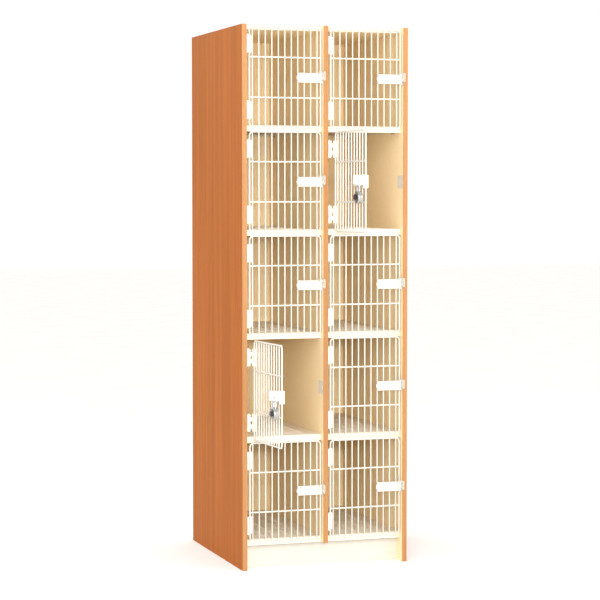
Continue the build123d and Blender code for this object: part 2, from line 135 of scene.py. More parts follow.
# %% Colour and node helpers
def tone(hex_code):
    """Linear RGBA from an sRGB hex value."""
    channels = [int(hex_code[n : n + 2], 16) / 255 for n in (1, 3, 5)]
    linear = [c / 12.92 if c <= 0.04045 else ((c + 0.055) / 1.055) ** 2.4 for c in channels]
    return (*linear, 1.0)


def add(material, kind, settings=None, values=None, links=None):
    """A node with its settings, its input values, and links into its inputs."""
    node = material.node_tree.nodes.new(kind)
    for name, value in (settings or {}).items():
        setattr(node, name, value)
    for name, value in (values or {}).items():
        node.inputs[name].default_value = value
    for name, source in (links or {}).items():
        material.node_tree.links.new(source, node.inputs[name])
    return node


def finish_named(name):
    """An empty material with its output and its shader, ready for a pattern."""
    material = bpy.data.materials.new(name)
    material.use_nodes = True
    return material, material.node_tree.nodes["Principled BSDF"]


def join_to(material, source, shader, socket):
    material.node_tree.links.new(source, shader.inputs[socket])


def stretched(material, scale):
    """Object coordinates, stretched by a scale on each axis."""
    place = add(material, "ShaderNodeTexCoord")
    links = {"Vector": place.outputs["Object"]}
    return add(material, "ShaderNodeMapping", values={"Scale": scale}, links=links).outputs[0]


def noise(material, vector, scale, detail=2.0, rough=0.5):
    values = {"Scale": scale, "Detail": detail, "Roughness": rough}
    return add(material, "ShaderNodeTexNoise", values=values, links={"Vector": vector}).outputs[0]


def ramp(material, source, stops):
    """A colour ramp from (position, colour) pairs."""
    node = add(material, "ShaderNodeValToRGB", links={"Fac": source})
    band = node.color_ramp
    while len(band.elements) < len(stops):
        band.elements.new(0.5)
    for element, (position, colour) in zip(band.elements, stops):
        element.position = position
        element.color = colour
    return node.outputs[0]


def blend_colours(material, factor, low, high, mode="MIX"):
    """Mixes two colours, each a value or another node's output."""
    node = add(material, "ShaderNodeMix", {"data_type": "RGBA", "blend_type": mode})
    for socket, value in ((0, factor), (6, low), (7, high)):
        if isinstance(value, bpy.types.NodeSocket):
            material.node_tree.links.new(value, node.inputs[socket])
        else:
            node.inputs[socket].default_value = value
    return node.outputs[2]


def bump(material, shader, height, strength, depth):
    values = {"Strength": strength, "Distance": depth}
    node = add(material, "ShaderNodeBump", values=values, links={"Height": height})
    join_to(material, node.outputs[0], shader, "Normal")


# %% [markdown]
# ## Floor finish
# The floor is a plain pale studio sweep with a trace of roughness, so that the plinth
# has a soft shadow to stand on.

# %% Studio floor
floor_finish, shader = finish_named("painted_studio_floor")
grain = noise(floor_finish, stretched(floor_finish, (1, 1, 1)), 3.0, 3.0)
pale = ramp(floor_finish, grain, [(0.3, tone("#FBFAF8")), (0.7, tone("#FFFEFC"))])
join_to(floor_finish, pale, shader, "Base Color")
shader.inputs["Roughness"].default_value = 0.85
floor.data.materials.append(floor_finish)
print("made", floor_finish.name)

# %% [markdown]
# ## Wood-grain laminate and melamine
# The panels are particle board with a printed, textured decor on the outside and plain
# almond melamine on the inside. The print is a straight, fine grain that runs up the
# panel: streaks about 2.5 mm wide and 200 mm long, with darker pores of 0.8 mm by 25 mm.
# One material carries both faces and picks between them by how far out the surface
# lies, because board, decor and melamine are one panel.

# %% Decor print
def wood_decor(material, light, mid, dark, pore):
    """Straight vertical grain. Returns the colour and the height of the print."""
    streak = noise(material, stretched(material, (420, 420, 5.0)), 1.0, 4.0, 0.55)
    broad = noise(material, stretched(material, (26, 26, 0.7)), 1.0, 2.0, 0.5)
    pores = noise(material, stretched(material, (1250, 1250, 40)), 1.0, 1.0, 0.4)
    grain = ramp(material, streak, [(0.22, dark), (0.48, mid), (0.76, light)])
    drift = ramp(material, broad, [(0.3, tone("#DCD3C8")), (0.7, tone("#FFFFFF"))])
    toned = blend_colours(material, 0.65, grain, drift, "MULTIPLY")
    pitted = ramp(material, pores, [(0.60, (0, 0, 0, 1)), (0.72, (1, 1, 1, 1))])
    faint = blend_colours(material, pitted, toned, pore)
    colour = blend_colours(material, 0.45, toned, faint)
    return colour, streak


def melamine(material):
    """Almond melamine: nearly plain, with a very faint mottle."""
    mottle = noise(material, stretched(material, (90, 90, 90)), 1.0, 3.0)
    return ramp(material, mottle, [(0.35, tone("#FBE2B3")), (0.65, tone("#FDE7C0"))])


def beyond(material, axis, limit, above=True):
    """1 where a coordinate is past a limit, 0 elsewhere."""
    place = add(material, "ShaderNodeTexCoord")
    parts = add(material, "ShaderNodeSeparateXYZ", links={"Vector": place.outputs["Object"]})
    test = {"operation": "GREATER_THAN" if above else "LESS_THAN"}
    return add(material, "ShaderNodeMath", test, {1: limit}, {0: parts.outputs[axis]}).outputs[0]


# %% Panel finishes
skin = 0.0008  # how deep the decor reaches from the outer face, in metres


def panel_finish(name, axis, limit, above):
    """Board with decor past a limit and melamine on the other side of it."""
    material, shader = finish_named(name)
    decor, height = wood_decor(
        material, tone("#BD7029"), tone("#B36522"), tone("#A4591C"), tone("#844616")
    )
    outside = beyond(material, axis, limit, above)
    colour = blend_colours(material, outside, melamine(material), decor)
    join_to(material, colour, shader, "Base Color")
    shader.inputs["Roughness"].default_value = 0.5
    shader.inputs["Specular IOR Level"].default_value = 0.05
    bump(material, shader, height, 0.12, 0.0004)
    return material


left_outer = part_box("side_panel_left")[0].x
right_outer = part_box("side_panel_right")[1].x
left_panel_finish = panel_finish("wood_decor_panel_left", "X", left_outer + skin, False)
right_panel_finish = panel_finish("wood_decor_panel_right", "X", right_outer - skin, True)

melamine_finish, shader = finish_named("almond_melamine_board")
join_to(melamine_finish, melamine(melamine_finish), shader, "Base Color")
shader.inputs["Roughness"].default_value = 0.45
fine = noise(melamine_finish, stretched(melamine_finish, (700, 700, 700)), 1.0, 2.0)
bump(melamine_finish, shader, fine, 0.08, 0.0003)
print("decor starts", skin / MM, "mm in from x", round(left_outer, 4), round(right_outer, 4))

# %% [markdown]
# ## Top board
# The top board is the same melamine, but its front edge carries a cream band. The band
# is painted greyer than its own cream, as painted shade, so that the strongly lit front
# edge does not burn out to white. The band is 1 mm thick, so the material tells the edge
# from the faces by depth.

# %% Top board
top_finish_with_shaded_edge, shader = finish_named("melamine_top_with_painted_shade_edge")
top_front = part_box("top_panel")[0].y
band_depth = 0.001
painted_shade_edge = beyond(top_finish_with_shaded_edge, "Y", top_front + band_depth, False)
# The greyish cream on the front edge is painted shade over the band's own cream.
shade_edged = blend_colours(top_finish_with_shaded_edge, painted_shade_edge, melamine(top_finish_with_shaded_edge), tone("#CFC8BA"))
join_to(top_finish_with_shaded_edge, shade_edged, shader, "Base Color")
shader.inputs["Roughness"].default_value = 0.45
print("band on the top board up to y", round(top_front + band_depth, 4))

# %% [markdown]
# ## Edge band
# The front edges carry a 3 mm band printed lighter than the panel faces. Its rounded
# corners are in the frame, so only the print is made here.

# %% Edge band
band_finish, shader = finish_named("wood_print_edge_band")
decor, height = wood_decor(
    band_finish, tone("#BA8852"), tone("#B27B45"), tone("#A66B37"), tone("#885024")
)
join_to(band_finish, decor, shader, "Base Color")
shader.inputs["Roughness"].default_value = 0.38
bump(band_finish, shader, height, 0.1, 0.0003)
print("made", band_finish.name)

# %% [markdown]
# ## Kick board, bare board and dowels
# The kick is faced with cream laminate. The boards nobody sees are bare particle board:
# chips of pale and brown wood a few millimetres across. The dowels, fluted beech in the
# real case, get the same bare board finish here.

# %% Kick and bare board
kick_finish, shader = finish_named("cream_kick_laminate")
mottle = noise(kick_finish, stretched(kick_finish, (60, 60, 60)), 1.0, 3.0)
cream = ramp(kick_finish, mottle, [(0.35, tone("#CCC5B9")), (0.65, tone("#D0CABF"))])
join_to(kick_finish, cream, shader, "Base Color")
shader.inputs["Roughness"].default_value = 0.5

chip_finish, shader = finish_named("bare_particle_board")
chips = add(
    chip_finish,
    "ShaderNodeTexVoronoi",
    values={"Scale": 1.0},
    links={"Vector": stretched(chip_finish, (330, 330, 330))},
)
chip_tone = add(chip_finish, "ShaderNodeSeparateXYZ", links={"Vector": chips.outputs["Color"]})
chip_stops = [(0.1, tone("#8E6B41")), (0.5, tone("#B8935F")), (0.9, tone("#D3B27E"))]
join_to(chip_finish, ramp(chip_finish, chip_tone.outputs[0], chip_stops), shader, "Base Color")
shader.inputs["Roughness"].default_value = 0.9
bump(chip_finish, shader, chips.outputs["Distance"], 0.4, 0.0006)
print("made", kick_finish.name, chip_finish.name)

# %% [markdown]
# ## Steel finishes
# Doors, latches, hinges and strikes are powder coated in warm white. Powder flows out
# into a faint orange peel, about 2 mm from hump to hump, under a soft gloss. The coat is
# made as two copies of that one white. The wires, pins and screws get a copy painted
# darker than the real coat, so that strong light on them does not burn out. The plates
# get a copy painted lighter, as painted light that lifts them out of the shade they sit
# in. Shelf pins and levelling feet are zinc plated: grey, metallic and slightly patchy.

# %% Powder coat and zinc
def powder_coat(name, shade, tint):
    """Warm white powder, clouded between two near whites."""
    material, shader = finish_named(name)
    cloud = noise(material, stretched(material, (40, 40, 40)), 1.0, 2.0)
    white = ramp(material, cloud, [(0.3, tone(shade)), (0.7, tone(tint))])
    join_to(material, white, shader, "Base Color")
    shader.inputs["Roughness"].default_value = 0.3
    shader.inputs["Coat Weight"].default_value = 0.25
    shader.inputs["Coat Roughness"].default_value = 0.15
    peel = noise(material, stretched(material, (500, 500, 500)), 1.0, 2.0)
    bump(material, shader, peel, 0.12, 0.0003)
    return material


# Two copies of one white: the first is painted darker so lit wires keep their shading, the second
# is painted lighter, as painted light on the shaded plates.
coat_painted_darker = powder_coat("powder_coat_painted_darker", "#CFCBC1", "#D3D0C7")
plate_coat_painted_lighter = powder_coat("powder_coat_painted_lighter", "#E0DCD2", "#E3E0D7")

zinc_finish, shader = finish_named("zinc_plated_steel")
patch = noise(zinc_finish, stretched(zinc_finish, (220, 220, 220)), 1.0, 4.0)
plated = ramp(zinc_finish, patch, [(0.3, tone("#A9ADB2")), (0.7, tone("#C6C9CC"))])
join_to(zinc_finish, plated, shader, "Base Color")
shader.inputs["Metallic"].default_value = 1.0
shader.inputs["Roughness"].default_value = 0.38
print("made", coat_painted_darker.name, plate_coat_painted_lighter.name, zinc_finish.name)

# %% [markdown]
# ## Padlock finishes
# The shackle is hardened steel with bright chrome. The case is drawn stainless steel,
# brushed while it turns on a lathe, so its scratches are rings round the case's middle,
# a third of a millimetre apart. The dial is stove-enamelled black with white-filled marks.

# %% Chrome, stainless and enamel
chrome_finish, shader = finish_named("bright_chrome_plate")
shader.inputs["Base Color"].default_value = tone("#D9DADC")
shader.inputs["Metallic"].default_value = 1.0
shader.inputs["Roughness"].default_value = 0.1

stainless_finish, shader = finish_named("lathe_brushed_stainless")
scratch = noise(stainless_finish, stretched(stainless_finish, (60, 60, 3000)), 1.0, 3.0, 0.6)
brushed = ramp(stainless_finish, scratch, [(0.35, tone("#A6A49F")), (0.65, tone("#C9C7C2"))])
join_to(stainless_finish, brushed, shader, "Base Color")
shader.inputs["Metallic"].default_value = 1.0
shader.inputs["Roughness"].default_value = 0.3
bump(stainless_finish, shader, scratch, 0.1, 0.0002)

enamel_finish, shader = finish_named("black_stove_enamel")
shader.inputs["Base Color"].default_value = tone("#101112")
shader.inputs["Roughness"].default_value = 0.22
shader.inputs["Coat Weight"].default_value = 0.5

fill_finish, shader = finish_named("white_fill_paint")
shader.inputs["Base Color"].default_value = tone("#F2F1EC")
shader.inputs["Roughness"].default_value = 0.6
print("made", chrome_finish.name, stainless_finish.name, enamel_finish.name, fill_finish.name)

# %% [markdown]
# ## Moulded shelf
# The shelves are moulded from almond high-density polyethylene. The mould leaves a fine
# pebble on the top, about 1.5 mm from bump to bump, and the plastic has a waxy sheen.

# %% Polyethylene
shelf_finish, shader = finish_named("moulded_polyethylene")
swirl = noise(shelf_finish, stretched(shelf_finish, (12, 12, 12)), 1.0, 3.0)
waxy = ramp(shelf_finish, swirl, [(0.3, tone("#E3D8C6")), (0.7, tone("#E7DDCD"))])
join_to(shelf_finish, waxy, shader, "Base Color")
shader.inputs["Roughness"].default_value = 0.48
shader.inputs["Subsurface Weight"].default_value = 0.08
shader.inputs["Subsurface Radius"].default_value = (0.004, 0.003, 0.002)
pebble = noise(shelf_finish, stretched(shelf_finish, (660, 660, 660)), 1.0, 1.0)
bump(shelf_finish, shader, pebble, 0.18, 0.0003)
print("made", shelf_finish.name)

# %% [markdown]
# ## Finishes on the frame's own parts
# The flat boards, pins, feet, hinge leaves and strike plates are right as the frame has
# them, so they only get a finish. They could be modelled again, but a sawn board would
# gain nothing: its edges are square, and its band's rounded corners are there already.

# %% Finishes on the frame's own parts
frame_finishes = {
    "side_panel_left": left_panel_finish,
    "side_panel_right": right_panel_finish,
    "centre_divider": melamine_finish,
    "top_panel": top_finish_with_shaded_edge,
    "back_panel": melamine_finish,
    "toe_kick": kick_finish,
    "rear_plinth": chip_finish,
    "centre_plinth": chip_finish,
    "rear_rail_top": chip_finish,
    "rear_rails_lower": chip_finish,
    "case_dowels": chip_finish,
    "front_edge_bands": band_finish,
    "shelf_pins": zinc_finish,
    "levelling_feet": zinc_finish,
    "leveller_brackets": zinc_finish,
    "hinge_leaves": plate_coat_painted_lighter,
    "hinge_pins": coat_painted_darker,
    "strike_plates": plate_coat_painted_lighter,
}
for node_name, material in frame_finishes.items():
    mesh = frame["nodes"][node_name].data
    mesh.materials.clear()
    mesh.materials.append(material)
print("finished", len(frame_finishes), "frame parts")

# %% [markdown]
# ## Helpers for modelling
# Each new piece starts as a primitive, added at its size and place in millimetres. Its
# place is then applied, so the object sits at the origin. Everything is deselected
# first, because an operator acts on all that is selected.

# %% Primitives
def deselect():
    if bpy.context.mode != "OBJECT":
        bpy.ops.object.mode_set(mode="OBJECT")
    bpy.ops.object.select_all(action="DESELECT")


def take(piece):
    """Makes a piece the only one selected, and the active one."""
    deselect()
    piece.select_set(True)
    bpy.context.view_layer.objects.active = piece
    return piece


def settle(piece):
    """Puts a piece's place, turn and size into its mesh."""
    take(piece)
    bpy.ops.object.transform_apply(location=True, rotation=True, scale=True)
    return piece


def block(low, high):
    """A box between two corners, in mm."""
    deselect()
    middle = [(a + b) / 2 * MM for a, b in zip(low, high)]
    bpy.ops.mesh.primitive_cube_add(size=1.0, location=middle)
    piece = bpy.context.object
    piece.scale = [abs(b - a) * MM for a, b in zip(low, high)]
    return settle(piece)


def bar(start, end, radius, sides=16):
    """A round bar between two points, in mm."""
    deselect()
    a, b = Vector(start) * MM, Vector(end) * MM
    turn = (b - a).to_track_quat("Z", "Y").to_euler()
    bpy.ops.mesh.primitive_cylinder_add(
        vertices=sides,
        radius=radius * MM,
        depth=(b - a).length,
        location=(a + b) / 2,
        rotation=turn,
    )
    return settle(bpy.context.object)


def apply_modifier(piece, kind, **settings):
    take(piece)
    bpy.ops.object.modifier_add(type=kind)
    modifier = piece.modifiers[-1]
    for name, value in settings.items():
        setattr(modifier, name, value)
    bpy.ops.object.modifier_apply(modifier=modifier.name)
    return piece


def merge(piece):
    """Merges points that a boolean leaves doubled and joins flat faces, for a clean bevel."""
    take(piece)
    bpy.ops.object.mode_set(mode="EDIT")
    bpy.ops.mesh.select_all(action="SELECT")
    bpy.ops.mesh.remove_doubles(threshold=0.00001)
    bpy.ops.mesh.dissolve_limited(angle_limit=math.radians(1.0))
    bpy.ops.object.mode_set(mode="OBJECT")
    return piece


def soften(piece, width, segments=2):
    """Rounds every sharp edge by a width in mm."""
    merge(piece)
    return apply_modifier(
        piece, "BEVEL", width=width * MM, segments=segments, limit_method="ANGLE"
    )


def carve(piece, tool):
    """Cuts a tool's shape out of a piece and deletes the tool."""
    apply_modifier(piece, "BOOLEAN", operation="DIFFERENCE", object=tool, solver="EXACT")
    bpy.data.objects.remove(tool)
    return piece


def fuse(piece, *others):
    """Unites pieces with the first one."""
    for other in others:
        apply_modifier(piece, "BOOLEAN", operation="UNION", object=other, solver="EXACT")
        bpy.data.objects.remove(other)
    return piece


def gather(pieces):
    """Joins pieces into the first one."""
    deselect()
    for piece in pieces:
        piece.select_set(True)
    bpy.context.view_layer.objects.active = pieces[0]
    bpy.ops.object.join()
    return pieces[0]


def smooth(piece, degrees=32.0):
    take(piece)
    bpy.ops.object.shade_smooth_by_angle(angle=math.radians(degrees))
    return piece


def dress(piece, material):
    piece.data.materials.clear()
    piece.data.materials.append(material)
    return piece


def copy_of(pattern, name, matrix, body, node=None):
    """A copy of a finished piece with its own mesh, put in place and on its body."""
    piece = pattern.copy()
    piece.data = pattern.data.copy()
    piece.name = name
    piece.data.name = name
    bpy.context.scene.collection.objects.link(piece)
    piece.data.transform(matrix)
    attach(piece, body)
    if node:
        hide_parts(node)
    return piece


def discard(*patterns):
    for pattern in patterns:
        bpy.data.objects.remove(pattern)


# %% [markdown]
# ## Where the doors are
# Every door is the same, so one is modelled shut, round its hinge axis at the origin,
# and copied. The hinge joint gives the axis, and the joint's lowest angle says how far
# the door stands open at rest: a door whose range starts at -86 is 86 degrees open.

# %% Door places
doors = {}
for joint in frame["joints"]:
    if joint["child"].startswith("door_"):
        key = joint["child"].removeprefix("door_")
        opened = -joint["range_deg"][0]
        turn = Matrix.Rotation(math.radians(-opened), 4, "Z")
        doors[key] = Matrix.Translation(joint["pos_m"]) @ turn
        print("door", key, "open", opened)
axis_point = Vector(doors["L1"].translation)


def door_frame(point):
    """A point of the frame, in mm from the first door's hinge axis."""
    return (Vector(point) - axis_point) / MM


grille_high = door_frame(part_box("door_grille_L1")[1])
channel_low, channel_high = (door_frame(corner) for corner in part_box("latch_channel_L1"))
bolt_low, bolt_high = (door_frame(corner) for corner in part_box("latch_bolt_L1"))

# %% [markdown]
# ## The grille
# A 1/4 in rod is bent into a rounded rectangle and butt welded. Two rods cross it, and
# eleven thinner wires lie on its inner side, resistance welded at every crossing. The
# ring is made as the rod is: a circle of the rod's section is extruded along each
# straight and spun through each corner.

# %% Frame ring
rod_r = 3.175
wire_r = 2.5
wire_count = 11
weld_depth = 1.2
corner_r = 16.0
rod_x0 = 13.1  # from the hinge axis to the middle of the upright rod
rod_x1 = grille_high.x - rod_r
rod_y = grille_high.y - 2 * wire_r - rod_r + weld_depth
rod_z = grille_high.z - rod_r


def frame_ring():
    """The bent outer rod."""
    deselect()
    start = Vector((rod_x0 + corner_r, rod_y, -rod_z)) * MM
    bpy.ops.mesh.primitive_circle_add(
        vertices=20, radius=rod_r * MM, location=start, rotation=(0, math.pi / 2, 0)
    )
    ring = settle(bpy.context.object)
    runs = [
        ((rod_x1 - rod_x0 - 2 * corner_r, 0, 0), (rod_x1 - corner_r, -rod_z + corner_r)),
        ((0, 0, 2 * (rod_z - corner_r)), (rod_x1 - corner_r, rod_z - corner_r)),
        ((-(rod_x1 - rod_x0 - 2 * corner_r), 0, 0), (rod_x0 + corner_r, rod_z - corner_r)),
        ((0, 0, -2 * (rod_z - corner_r)), (rod_x0 + corner_r, -rod_z + corner_r)),
    ]
    bpy.ops.object.mode_set(mode="EDIT")
    bpy.ops.mesh.select_all(action="SELECT")
    for run, (centre_x, centre_z) in runs:
        shift = Vector(run) * MM
        bpy.ops.mesh.extrude_region_move(TRANSFORM_OT_translate={"value": shift})
        bpy.ops.mesh.spin(
            steps=8,
            angle=math.pi / 2,
            center=Vector((centre_x, rod_y, centre_z)) * MM,
            axis=(0, 1, 0),
        )
    bpy.ops.mesh.select_all(action="SELECT")
    bpy.ops.mesh.remove_doubles(threshold=0.00005)
    bpy.ops.mesh.normals_make_consistent(inside=False)
    bpy.ops.object.mode_set(mode="OBJECT")
    print("frame ring has", len(ring.data.polygons), "faces")
    return ring


# %% [markdown]
# ## Wires, cross rods and welds
# The welder presses each wire into the rods, so wires and rods overlap a little and a
# small swell of metal stands at each crossing. A flattened ball makes the swell. The
# solids overlap and are not fused, because forty-four unions would be slow, and the
# lines where they meet lie inside the swells.

# %% Wires, cross rods and welds
cross_drop = 117.0
wire_y = rod_y + rod_r + wire_r - weld_depth
wire_pitch = (rod_x1 - rod_x0) / wire_count
wire_tip = rod_z + rod_r / 2
wire_tip_round = 0.8
rod_heights = (-rod_z, -rod_z + cross_drop, rod_z - cross_drop, rod_z)
nugget_sink = 0.2
nugget_deep = 2.1
nugget_wide = 1.22  # times the wire's radius
nugget_tall = 0.95  # times the rod's radius
bar_lap_front = 0.1
bar_lap_behind = 0.3
bar_pitches = 3.5  # how many wire gaps the latch bar spans


def weld_nugget(x, z):
    """The little swell of metal where a wire sinks into a rod."""
    deselect()
    place = Vector((x, rod_y + rod_r - nugget_sink, z)) * MM
    bpy.ops.mesh.primitive_ico_sphere_add(subdivisions=2, radius=1.0, location=place)
    nugget = bpy.context.object
    nugget.scale = (wire_r * nugget_wide * MM, nugget_deep * MM, rod_r * nugget_tall * MM)
    return settle(nugget)


def latch_bar(side):
    """A short bar that carries the latch channel between the last wires."""
    front = channel_back_y + bar_lap_front
    behind = wire_y - wire_r + bar_lap_behind
    radius = (behind - front) / 2
    y = (behind + front) / 2
    x = rod_x0 + (wire_count - bar_pitches) * wire_pitch - wire_r
    z = side * channel_height / 3
    return bar((x, y, z), (rod_x1, y, z), radius, 12)


def grille():
    """A whole grille: ring, cross rods, wires, swells and latch bars."""
    pieces = [frame_ring()]
    for z in rod_heights[1:3]:
        pieces.append(bar((rod_x0, rod_y, z), (rod_x1, rod_y, z), rod_r, 20))
    wires = []
    for n in range(wire_count):
        x = rod_x0 + (n + 0.5) * wire_pitch
        wires.append(bar((x, wire_y, -wire_tip), (x, wire_y, wire_tip), wire_r, 16))
        pieces += [weld_nugget(x, z) for z in rod_heights]
    pieces.append(soften(gather(wires), wire_tip_round, 3))
    for side in (-1, 1):
        pieces.append(latch_bar(side))
    return dress(smooth(gather(pieces), 40), coat_painted_darker)


# %% [markdown]
# ## Hinge leaf on the door
# The leaf is 1.6 mm sheet, rolled round the hinge pin. It runs from the knuckle to the
# plane of the door, with notches that leave two bridges, and then folds behind the
# frame rod, where it is welded. It could be folded from a flat sheet in edit mode.
# Blocks are fused instead, since they meet at right angles. The fold gets its radius
# first, then the notches are carved, and the small edge break comes last.

# %% Edge helpers
def chosen_edges(piece, test):
    """Selects the edges whose two ends pass a test, in edge mode."""
    take(piece)
    bpy.ops.object.mode_set(mode="EDIT")
    bpy.ops.mesh.select_mode(type="EDGE")
    bpy.ops.mesh.select_all(action="DESELECT")
    bpy.ops.object.mode_set(mode="OBJECT")
    for edge in piece.data.edges:
        ends = [piece.data.vertices[n].co / MM for n in edge.vertices]
        edge.select = all(test(end) for end in ends)
    bpy.ops.object.mode_set(mode="EDIT")


def round_edges(piece, test, radius, segments=5):
    """Bevels the chosen edges by a radius in mm."""
    chosen_edges(piece, test)
    bpy.ops.mesh.bevel(offset=radius * MM, segments=segments, profile=0.5)
    bpy.ops.object.mode_set(mode="OBJECT")
    return piece


def near(value, target, slack=0.05):
    return abs(value - target) < slack


# %% Door leaves
leaf_t = 1.6
leaf_half = 34.0
leaf_drop = 67.0
knuckle_r = 3.2
knuckle_half = 13.2
leaf_reach = 22.5
notch_start = 8.6
notch_end = 16.6
notch_height = 11.5
slot_half = 6.0
leaf_clear = 0.3
leaf_lap = 0.4
leaf_fold_r = 2.56
leaf_break = 0.25
pin_hole_r = 2.05


def door_leaf():
    """The half of a hinge that is welded to the door."""
    x1 = knuckle_r
    x0 = x1 - leaf_t
    y0 = knuckle_r + leaf_clear
    y1 = rod_y + rod_r - leaf_lap
    y2 = y1 + leaf_t
    leg = block((x0, y0, -leaf_half), (x1, y2, leaf_half))
    fold = block((x0, y1, -leaf_half), (leaf_reach, y2, leaf_half))
    tab = block((x0, 0, -knuckle_half), (x1, y0 + 1, knuckle_half))
    leaf = merge(fuse(leg, fold, tab))
    round_edges(leaf, lambda p: near(p.x, x0) and near(p.y, y2), leaf_fold_r)
    for z0, z1 in (
        (leaf_half - notch_height, leaf_half + 1),
        (-slot_half, slot_half),
        (-leaf_half - 1, -leaf_half + notch_height),
    ):
        carve(leaf, block((x0 - 1, notch_start, z0), (x1 + 1, notch_end, z1)))
    barrel = bar((0, 0, -knuckle_half), (0, 0, knuckle_half), knuckle_r, 24)
    leaf = fuse(leaf, barrel)
    carve(leaf, bar((0, 0, -leaf_half), (0, 0, leaf_half), pin_hole_r, 24))
    return dress(smooth(soften(leaf, leaf_break)), plate_coat_painted_lighter)


# %% [markdown]
# ## Latch channel
# The channel is folded from 1.5 mm sheet, like a curtain track: a back, two walls and
# two lips, with an end plate that carries the padlock ear. It could be one sheet folded
# in edit mode and thickened. Sheets fused by union are used instead, because the end
# plate meets the folds at right angles there, and a bevel then gives the bend its radius.

# %% Channel
sheet_t = 1.5
channel_height = 37.0
channel_lip = 7.0
ear_height = 36.0
ear_top = 24.5
hole_front = 32.0
hole_r = 4.8
end_plate_tall = 25.0
ear_corner_r = 3.0
fold_r = 1.4
channel_depth = 12.0
weld_gap = 0.05
edge_break = 0.3
lap = 0.1
window_half = 8.3
window_front = 1.5
window_lap = 0.02
ear_lap = 0.5
channel_x0 = channel_low.x
channel_x1 = channel_high.x - sheet_t
channel_back_y = rod_y - rod_r - weld_gap
channel_face_y = rod_y - channel_depth
ear_tip_y = channel_low.y
end_plate_y = channel_high.y


def ear_plate(x0, x1, root_y):
    """The ear that a padlock goes through, with its two rounded corners."""
    ear = block((x0, ear_tip_y, ear_top - ear_height), (x1, root_y, ear_top))
    for z in (ear_top - ear_height, ear_top):
        round_edges(ear, lambda p: near(p.y, ear_tip_y) and near(p.z, z), ear_corner_r)
    return ear


def channel():
    """The folded channel with its end plate, ear, window and hole."""
    half = channel_height / 2
    x0, x1 = channel_x0, channel_x1
    pieces = [block((x0, channel_back_y - sheet_t, -half), (x1 + lap, channel_back_y, half))]
    for side in (-1, 1):
        wall = sorted((side * half, side * (half - sheet_t)))
        lip = sorted((side * half, side * (half - channel_lip)))
        pieces.append(block((x0, channel_face_y, wall[0]), (x1 + lap, channel_back_y, wall[1])))
        face_y = channel_face_y + sheet_t
        pieces.append(block((x0, channel_face_y, lip[0]), (x1 + lap, face_y, lip[1])))
    body = fuse(*pieces)
    merge(body)
    for z in (-half, half):
        for y in (channel_face_y, channel_back_y):
            round_edges(body, lambda p: near(p.z, z) and near(p.y, y), fold_r, 4)
    x2 = x1 + sheet_t
    tall = end_plate_tall
    plate = block((x1, channel_face_y, -tall), (x2, end_plate_y, tall))
    body = fuse(body, plate, ear_plate(x1, x2, channel_face_y + ear_lap))
    window_y = (channel_face_y + window_front, channel_back_y - sheet_t + window_lap)
    carve(body, block((x1 - 1, window_y[0], -window_half), (x2 + 1, window_y[1], window_half)))
    hole_y = rod_y - hole_front
    carve(body, bar((x1 - 1, hole_y, 0), (x2 + 1, hole_y, 0), hole_r, 32))
    return dress(smooth(soften(body, edge_break)), plate_coat_painted_lighter)


# %% [markdown]
# ## Latch bolt
# The sliding plate has a rounded tail to push with a finger, a square bolt at the other
# end, and its own ear, which meets the ear of the channel when the bolt is shot. Real
# ones are pressed from one sheet with a bar welded on. Plates are fused here, as for
# the channel, with a little room all round so that the bolt slides without touching.

# %% Bolt
bolt_travel = 15.0
slide_clear = 0.3
tail_half = 8.0
tail_corner_r = 5.2
bolt_half = 8.0
bolt_lead = 30.0
tongue_deep = 5.0
stem_lap = 0.5


def bolt():
    """The bolt at rest: its ear stands one travel short of the channel's ear."""
    face = channel_face_y + sheet_t + slide_clear
    inner = channel_back_y - sheet_t - slide_clear
    half = channel_height / 2 - sheet_t - slide_clear
    neck = channel_height / 2 - channel_lip - slide_clear
    ear_x1 = channel_x1 - slide_clear - bolt_travel
    ear_x0 = ear_x1 - sheet_t
    root = channel_face_y - slide_clear - sheet_t
    plate = block((channel_x0, face, -half), (ear_x1, face + sheet_t, half))
    tail = block((bolt_low.x, face, -tail_half), (channel_x0 + 1, face + sheet_t, tail_half))
    for z in (-tail_half, tail_half):
        round_edges(tail, lambda p: near(p.x, bolt_low.x) and near(p.z, z), tail_corner_r, 8)
    tongue_y = face + min(tongue_deep, inner - face)
    tongue = block(
        (bolt_high.x - bolt_lead, face, -bolt_half), (bolt_high.x, tongue_y, bolt_half)
    )
    stem = block((ear_x0, root - stem_lap, -neck), (ear_x1, face + sheet_t, neck))
    body = fuse(plate, tail, tongue, stem, ear_plate(ear_x0, ear_x1, root))
    hole_y = rod_y - hole_front
    carve(body, bar((ear_x0 - 1, hole_y, 0), (ear_x1 + 1, hole_y, 0), hole_r, 32))
    return dress(smooth(soften(body, edge_break)), plate_coat_painted_lighter)


# %% [markdown]
# ## Copy a door to every compartment
# The four finished pieces are copied to ten hinge axes, each copy with its own mesh. A
# linked copy would be lighter, but each copy's place has to be in its mesh, so that it
# turns with its own door.

# %% Copy a door to every compartment
grille_pattern = grille()
leaf_pattern = door_leaf()
channel_pattern = channel()
bolt_pattern = bolt()
for key, place in doors.items():
    body = f"door_{key}"
    copy_of(grille_pattern, f"wire_grille_{key}", place, body, f"door_grille_{key}")
    for side, level in ((1, "upper"), (-1, "lower")):
        lift = Matrix.Translation((0, 0, side * (rod_z - leaf_drop) * MM))
        copy_of(leaf_pattern, f"door_leaf_{level}_{key}", place @ lift, body)
    copy_of(channel_pattern, f"channel_{key}", place, body, f"latch_channel_{key}")
    copy_of(bolt_pattern, f"bolt_{key}", place, f"bolt_{key}", f"latch_bolt_{key}")
print("grille has", len(grille_pattern.data.polygons), "faces")
discard(grille_pattern, leaf_pattern, channel_pattern, bolt_pattern)

# %% [markdown]
# ## Padlocks
# Each open door carries a round combination padlock, hung open in the ear. It is
# modelled in the door's own frame. The joints give its place: the swing joint lies in
# the ear's hole and the dial joint on the middle of the case's front. The shackle is a
# bent rod, so it is made as the frame ring is, by extruding and spinning a circle.

